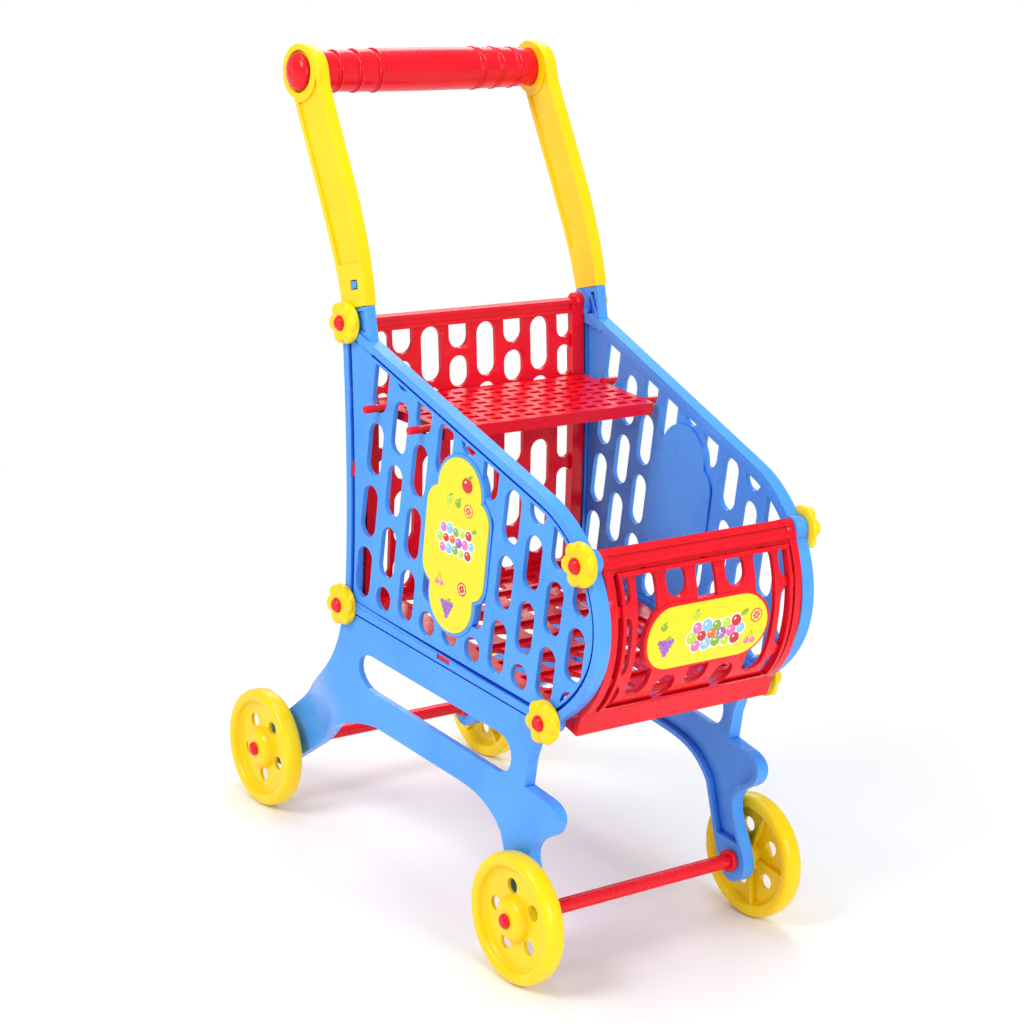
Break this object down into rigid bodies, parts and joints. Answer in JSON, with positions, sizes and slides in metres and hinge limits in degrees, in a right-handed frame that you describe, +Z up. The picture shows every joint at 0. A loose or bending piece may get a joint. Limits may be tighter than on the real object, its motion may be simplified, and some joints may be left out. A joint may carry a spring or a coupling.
{
  "type": "toy shopping cart",
  "caption": "Child's toy shopping cart: lattice basket between two moulded side frames, lift-up shelf, bowed push handle and four free wheels.",
  "frame": {"origin": "on the floor, midway between the two axles and between the two side frames, within 2 mm of under the middle of the bounding box", "axes": "+X towards the front of the cart, +Y towards its left side, +Z up"},
  "size_m": [0.3741, 0.2074, 0.5135],
  "materials": {
    "blue_plastic": "satin moulded",
    "yellow_plastic": "satin moulded",
    "red_plastic": "satin moulded",
    "badge": "printed film"
  },
  "bodies": {
    "frame": {"side_right": "blue_plastic", "side_left": "blue_plastic", "upright_right": "yellow_plastic", "upright_left": "yellow_plastic", "grip": "red_plastic", "cap_right": "red_plastic", "cap_left": "red_plastic", "back_panel": "red_plastic", "front_panel": "red_plastic", "floor_panel": "red_plastic", "axle_front": "red_plastic", "axle_rear": "red_plastic", "cap_front_right": "red_plastic", "cap_front_left": "red_plastic", "cap_rear_right": "red_plastic", "cap_rear_left": "red_plastic", "nut_right_1": "yellow_plastic", "nut_right_2": "yellow_plastic", "nut_right_3": "yellow_plastic", "nut_right_4": "yellow_plastic", "nut_left_1": "yellow_plastic", "nut_left_2": "yellow_plastic", "nut_left_3": "yellow_plastic", "nut_left_4": "yellow_plastic", "badge_right": "badge", "badge_left": "badge", "badge_nose": "badge"},
    "shelf": {"shelf": "red_plastic"},
    "wheel_front_right": {"wheel_front_right": "yellow_plastic"},
    "wheel_front_left": {"wheel_front_left": "yellow_plastic"},
    "wheel_rear_right": {"wheel_rear_right": "yellow_plastic"},
    "wheel_rear_left": {"wheel_rear_left": "yellow_plastic"}
  },
  "joints": [
    {"name": "shelf_lift", "type": "slide", "parent": "frame", "child": "shelf", "axis": [0, 0, 1], "range_m": [0, 0.01]},
    {"name": "spin_front_right", "type": "hinge", "parent": "frame", "child": "wheel_front_right", "pos_m": [0.1457, -0.092, 0.04], "axis": [0, 1, 0], "continuous": true},
    {"name": "spin_front_left", "type": "hinge", "parent": "frame", "child": "wheel_front_left", "pos_m": [0.1457, 0.092, 0.04], "axis": [0, 1, 0], "continuous": true},
    {"name": "spin_rear_right", "type": "hinge", "parent": "frame", "child": "wheel_rear_right", "pos_m": [-0.1457, -0.092, 0.04], "axis": [0, 1, 0], "continuous": true},
    {"name": "spin_rear_left", "type": "hinge", "parent": "frame", "child": "wheel_rear_left", "pos_m": [-0.1457, 0.092, 0.04], "axis": [0, 1, 0], "continuous": true}
  ]
}
